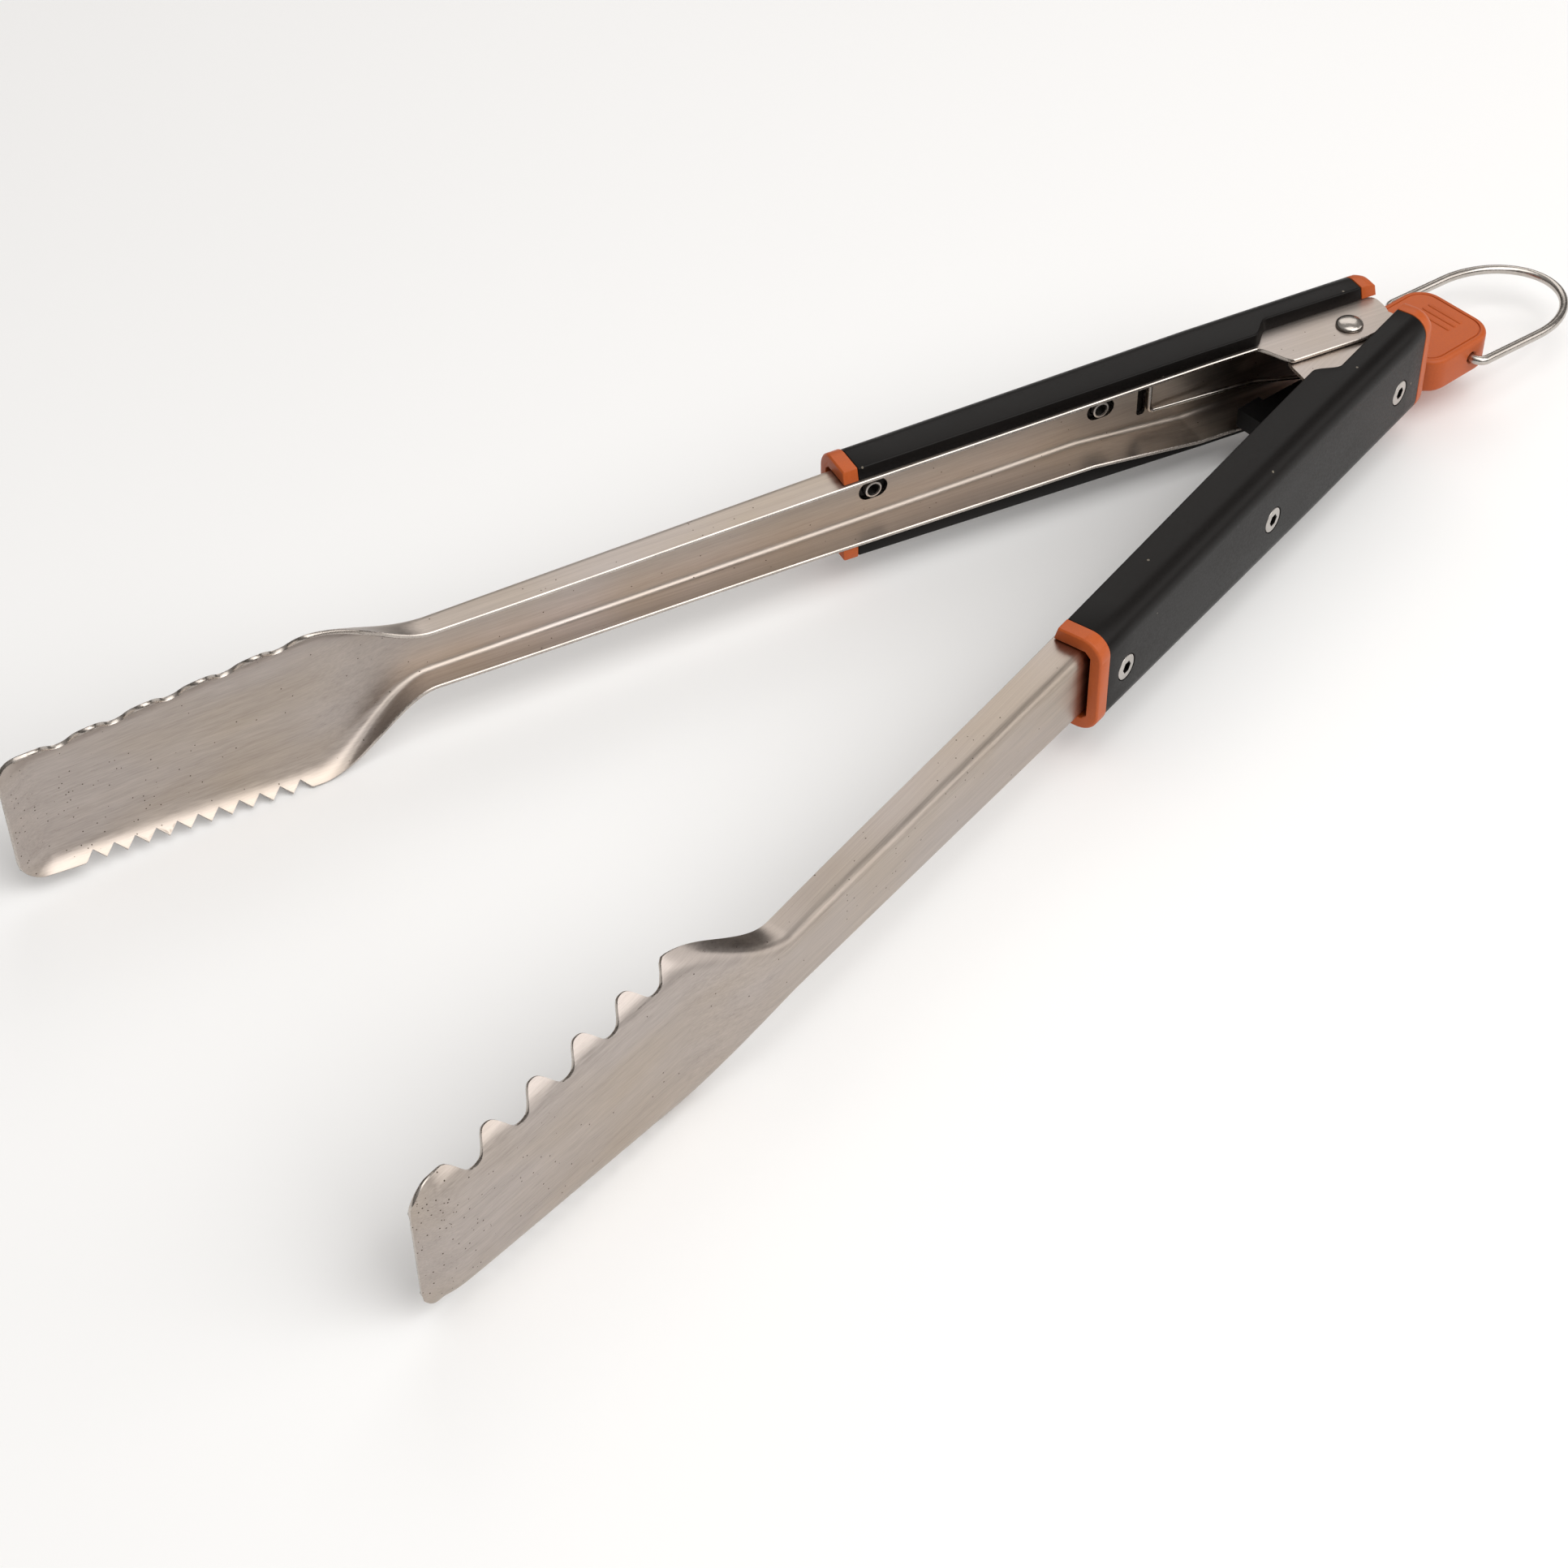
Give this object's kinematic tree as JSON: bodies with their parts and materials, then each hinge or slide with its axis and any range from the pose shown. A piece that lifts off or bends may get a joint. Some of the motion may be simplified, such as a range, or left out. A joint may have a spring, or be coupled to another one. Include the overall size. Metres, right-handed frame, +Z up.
{
  "type": "spring loaded kitchen tongs",
  "caption": "Long stainless tongs with scalloped and toothed heads, covered handles, a torsion spring, a pull-to-lock slide and a wire hanging loop.",
  "frame": {"origin": "bottom centre of the bounding box at rest, with the arms fully open and the tool lying on its side", "axes": "+X from the tips to the hanging loop, +Y towards arm A, +Z up along the hinge pin"},
  "size_m": [0.4881, 0.18, 0.052],
  "materials": {
    "brushed_stainless": "brushed along the arm",
    "polished_steel": "polished",
    "satin_zinc": "satin",
    "black_plastic": "satin, fine grain",
    "orange_plastic": "satin"
  },
  "bodies": {
    "core": {"hinge_rivet": "polished_steel", "hinge_sleeve": "satin_zinc", "torsion_spring": "polished_steel"},
    "arm_a": {"arm_a_steel": "brushed_stainless", "handle_cover_a": "black_plastic", "front_collar_a": "orange_plastic", "rear_cap_a": "orange_plastic", "cover_screw_a1": "satin_zinc", "cover_screw_a2": "satin_zinc", "cover_screw_a3": "satin_zinc", "barrel_nut_a1": "satin_zinc", "barrel_nut_a2": "satin_zinc", "barrel_nut_a3": "satin_zinc"},
    "arm_b": {"arm_b_steel": "brushed_stainless", "handle_cover_b": "black_plastic", "front_collar_b": "orange_plastic", "rear_cap_b": "orange_plastic", "cover_screw_b1": "satin_zinc", "cover_screw_b2": "satin_zinc", "cover_screw_b3": "satin_zinc", "barrel_nut_b1": "satin_zinc", "barrel_nut_b2": "satin_zinc", "barrel_nut_b3": "satin_zinc"},
    "lock": {"lock_slide": "black_plastic", "lock_pin": "satin_zinc", "pull_tab": "orange_plastic"},
    "loop": {"hanging_loop": "polished_steel"}
  },
  "joints": [
    {"name": "arm_a_hinge", "type": "hinge", "parent": "core", "child": "arm_a", "pos_m": [0.14891, 0, 0.02563], "axis": [0, 0, 1], "range_deg": [0, 12.3], "stiffness_Nm_per_rad": 2, "springref_deg": -14.32, "deforming": ["torsion_spring"]},
    {"name": "arm_b_hinge", "type": "hinge", "parent": "core", "child": "arm_b", "pos_m": [0.14891, 0, 0.02563], "axis": [0, 0, -1], "range_deg": [0, 12.3], "deforming": ["torsion_spring"]},
    {"name": "lock_pull", "type": "slide", "parent": "core", "child": "lock", "axis": [1, 0, 0], "range_m": [0, 0.007]},
    {"name": "loop_swing", "type": "hinge", "parent": "lock", "child": "loop", "pos_m": [0.18921, 0, 0.01743], "axis": [0, 1, 0], "range_deg": [-75, 70]}
  ],
  "couplings": [
    {"joint": "arm_b_hinge", "follows": "arm_a_hinge", "ratio": 1}
  ]
}
